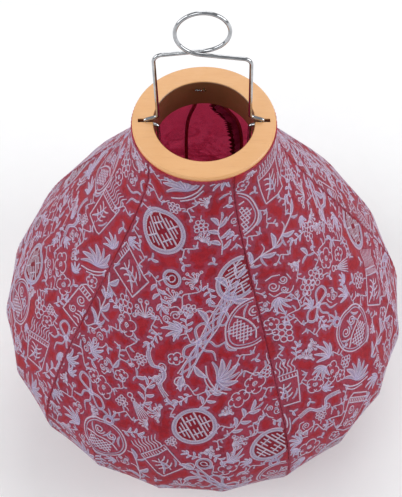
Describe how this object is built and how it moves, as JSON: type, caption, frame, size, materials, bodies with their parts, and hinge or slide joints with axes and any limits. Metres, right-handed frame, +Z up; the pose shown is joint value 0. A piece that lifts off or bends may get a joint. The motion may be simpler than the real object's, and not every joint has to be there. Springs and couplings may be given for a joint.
{
  "type": "hanging silk lantern",
  "caption": "Hanging silk lantern: bent ribs between two turned wooden rings under a sewn brocade cover, with a bent wire frame and hanging loop.",
  "frame": {"origin": "centre of the bottom ring's lower face, which the lantern stands on", "axes": "+Z up along the axis of both rings, -Y towards the front, the latch notches and the wire frame's legs on the X axis"},
  "size_m": [0.3408, 0.3408, 0.4601],
  "materials": {
    "ring_wood": "satin varnish on turned wood",
    "bamboo": "split bamboo, bare",
    "brocade": "red silk brocade with pale lavender figures",
    "seam_cloth": "inside of the brocade, with frayed edges",
    "frame_wire": "bright plated steel wire",
    "binding_wire": "soft steel wire"
  },
  "bodies": {
    "root": {"bottom_ring": "ring_wood", "bottom_binding_wire": "binding_wire", "wire_frame": "frame_wire", "rib_01": "bamboo", "rib_02": "bamboo", "rib_03": "bamboo", "rib_04": "bamboo", "rib_05": "bamboo", "rib_06": "bamboo", "rib_07": "bamboo", "rib_08": "bamboo", "rib_09": "bamboo", "rib_10": "bamboo", "rib_11": "bamboo", "rib_12": "bamboo", "rib_13": "bamboo", "rib_14": "bamboo", "rib_15": "bamboo", "rib_16": "bamboo", "rib_17": "bamboo", "rib_18": "bamboo", "rib_19": "bamboo", "rib_20": "bamboo", "fabric_panel_1": "brocade", "fabric_panel_2": "brocade", "fabric_panel_3": "brocade", "fabric_panel_4": "brocade", "fabric_panel_5": "brocade", "seam_flap_1": "seam_cloth", "seam_flap_2": "seam_cloth", "seam_flap_3": "seam_cloth", "seam_flap_4": "seam_cloth", "seam_flap_5": "seam_cloth"},
    "top_ring_group": {"top_ring": "ring_wood", "top_binding_wire": "binding_wire"}
  },
  "joints": [
    {"name": "top_ring_press", "type": "slide", "parent": "root", "child": "top_ring_group", "axis": [0, 0, 1], "range_m": [-0.012, 0], "stiffness_N_per_m": 1500, "springref_m": 0.008, "deforming": ["rib_01", "rib_02", "rib_03", "rib_04", "rib_05", "rib_06", "rib_07", "rib_08", "rib_09", "rib_10", "rib_11", "rib_12", "rib_13", "rib_14", "rib_15", "rib_16", "rib_17", "rib_18", "rib_19", "rib_20"]}
  ]
}
